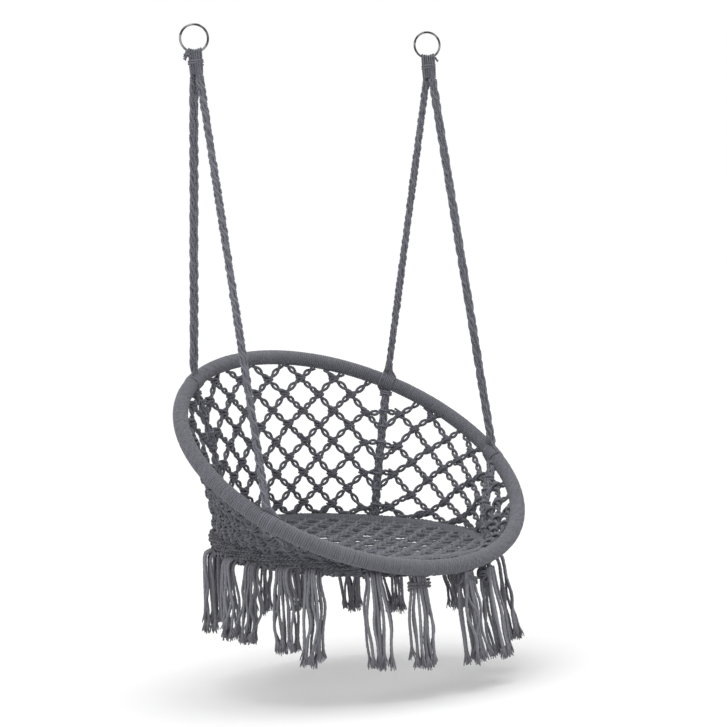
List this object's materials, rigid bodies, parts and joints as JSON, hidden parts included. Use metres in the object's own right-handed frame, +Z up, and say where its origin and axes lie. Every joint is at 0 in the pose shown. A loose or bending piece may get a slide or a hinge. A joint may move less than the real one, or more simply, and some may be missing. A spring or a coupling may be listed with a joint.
{
  "type": "hanging net chair",
  "caption": "Hanging macrame chair: a tilted wrapped hoop on plaited ropes and rings, with a net back, a seat hoop and a long fringe.",
  "frame": {"origin": "midway between the two points where the hooks bear on the insides of the rings, so the part hangs below it", "axes": "+Z up, +X from the left ring to the right ring, +Y to the high back of the chair"},
  "size_m": [0.8399, 0.7049, 1.4265],
  "materials": {
    "ring_steel": "bright nickel-plated round steel wire",
    "hoop_steel": "plain bent steel tube, hidden inside its wrapping",
    "plaited_rope": "plaited twisted cotton cord, slate grey, matt",
    "lashing_cord": "tightly bound cotton cord, slate grey, matt",
    "wrapping_cord": "close turns of cotton cord, slate grey, matt",
    "net_cord": "knotted double cotton cord, slate grey, matt",
    "fringe_cord": "loose cotton cord with frayed ends, slate grey, matt"
  },
  "bodies": {
    "rings": {"left_ring": "ring_steel", "right_ring": "ring_steel"},
    "chair": {"left_hitch": "lashing_cord", "right_hitch": "lashing_cord", "back_left_rope": "plaited_rope", "front_left_rope": "plaited_rope", "back_right_rope": "plaited_rope", "front_right_rope": "plaited_rope", "back_left_lashing": "lashing_cord", "front_left_lashing": "lashing_cord", "back_right_lashing": "lashing_cord", "front_right_lashing": "lashing_cord", "back_left_sinnet": "plaited_rope", "front_left_sinnet": "plaited_rope", "back_right_sinnet": "plaited_rope", "front_right_sinnet": "plaited_rope", "big_hoop_tube": "hoop_steel", "big_hoop_wrap": "wrapping_cord", "seat_hoop_tube": "hoop_steel", "seat_hoop_wrap": "wrapping_cord", "back_net": "net_cord", "left_net": "net_cord", "front_net": "net_cord", "right_net": "net_cord", "seat_net": "net_cord", "lower_band": "net_cord"},
    "tassel_01": {"tassel_01": "fringe_cord"},
    "tassel_02": {"tassel_02": "fringe_cord"},
    "tassel_03": {"tassel_03": "fringe_cord"},
    "tassel_04": {"tassel_04": "fringe_cord"},
    "tassel_05": {"tassel_05": "fringe_cord"},
    "tassel_06": {"tassel_06": "fringe_cord"},
    "tassel_07": {"tassel_07": "fringe_cord"},
    "tassel_08": {"tassel_08": "fringe_cord"},
    "tassel_09": {"tassel_09": "fringe_cord"},
    "tassel_10": {"tassel_10": "fringe_cord"},
    "tassel_11": {"tassel_11": "fringe_cord"},
    "tassel_12": {"tassel_12": "fringe_cord"},
    "tassel_13": {"tassel_13": "fringe_cord"},
    "tassel_14": {"tassel_14": "fringe_cord"},
    "tassel_15": {"tassel_15": "fringe_cord"},
    "tassel_16": {"tassel_16": "fringe_cord"}
  },
  "joints": [
    {"name": "swing", "type": "hinge", "parent": "rings", "child": "chair", "pos_m": [0, 0, -0.0575], "axis": [1, 0, 0], "range_deg": [-30, 30]},
    {"name": "tassel_01_sway", "type": "hinge", "parent": "chair", "child": "tassel_01", "pos_m": [0.31793, 0.01627, -1.21862], "axis": [-0.0698, 0.9976, 0], "range_deg": [-35, 20]},
    {"name": "tassel_02_sway", "type": "hinge", "parent": "chair", "child": "tassel_02", "pos_m": [0.26153, 0.17736, -1.19871], "axis": [-0.5736, 0.8191, 0], "range_deg": [-35, 20]},
    {"name": "tassel_03_sway", "type": "hinge", "parent": "chair", "child": "tassel_03", "pos_m": [0.19658, 0.24592, -1.18809], "axis": [-0.788, 0.6157, 0], "range_deg": [-35, 20]},
    {"name": "tassel_04_sway", "type": "hinge", "parent": "chair", "child": "tassel_04", "pos_m": [0.08771, 0.30132, -1.17655], "axis": [-0.9613, 0.2756, 0], "range_deg": [-35, 20]},
    {"name": "tassel_05_sway", "type": "hinge", "parent": "chair", "child": "tassel_05", "pos_m": [-0.00071, 0.3137, -1.17062], "axis": [-1, 0, 0], "range_deg": [-35, 20]},
    {"name": "tassel_06_sway", "type": "hinge", "parent": "chair", "child": "tassel_06", "pos_m": [-0.16148, 0.27087, -1.1667], "axis": [-0.866, -0.5, 0], "range_deg": [-35, 20]},
    {"name": "tassel_07_sway", "type": "hinge", "parent": "chair", "child": "tassel_07", "pos_m": [-0.27964, 0.15383, -1.17282], "axis": [-0.5, -0.866, 0], "range_deg": [-35, 20]},
    {"name": "tassel_08_sway", "type": "hinge", "parent": "chair", "child": "tassel_08", "pos_m": [-0.32159, 0.02739, -1.18393], "axis": [-0.1045, -0.9945, 0], "range_deg": [-35, 20]},
    {"name": "tassel_09_sway", "type": "hinge", "parent": "chair", "child": "tassel_09", "pos_m": [-0.32065, -0.05053, -1.19218], "axis": [0.1392, -0.9903, 0], "range_deg": [-35, 20]},
    {"name": "tassel_10_sway", "type": "hinge", "parent": "chair", "child": "tassel_10", "pos_m": [-0.2987, -0.13097, -1.2018], "axis": [0.3907, -0.9205, 0], "range_deg": [-35, 20]},
    {"name": "tassel_11_sway", "type": "hinge", "parent": "chair", "child": "tassel_11", "pos_m": [-0.26648, -0.18943, -1.20964], "axis": [0.5736, -0.8191, 0], "range_deg": [-35, 20]},
    {"name": "tassel_12_sway", "type": "hinge", "parent": "chair", "child": "tassel_12", "pos_m": [-0.1741, -0.27719, -1.22372], "axis": [0.848, -0.5299, 0], "range_deg": [-35, 20]},
    {"name": "tassel_13_sway", "type": "hinge", "parent": "chair", "child": "tassel_13", "pos_m": [-0.08727, -0.31488, -1.23224], "axis": [0.9659, -0.2588, 0], "range_deg": [-35, 20]},
    {"name": "tassel_14_sway", "type": "hinge", "parent": "chair", "child": "tassel_14", "pos_m": [0.02934, -0.32402, -1.23931], "axis": [0.9945, 0.1045, 0], "range_deg": [-35, 20]},
    {"name": "tassel_15_sway", "type": "hinge", "parent": "chair", "child": "tassel_15", "pos_m": [0.10568, -0.30649, -1.24147], "axis": [0.9397, 0.342, 0], "range_deg": [-35, 20]},
    {"name": "tassel_16_sway", "type": "hinge", "parent": "chair", "child": "tassel_16", "pos_m": [0.23114, -0.2241, -1.23937], "axis": [0.682, 0.7314, 0], "range_deg": [-35, 20]}
  ]
}
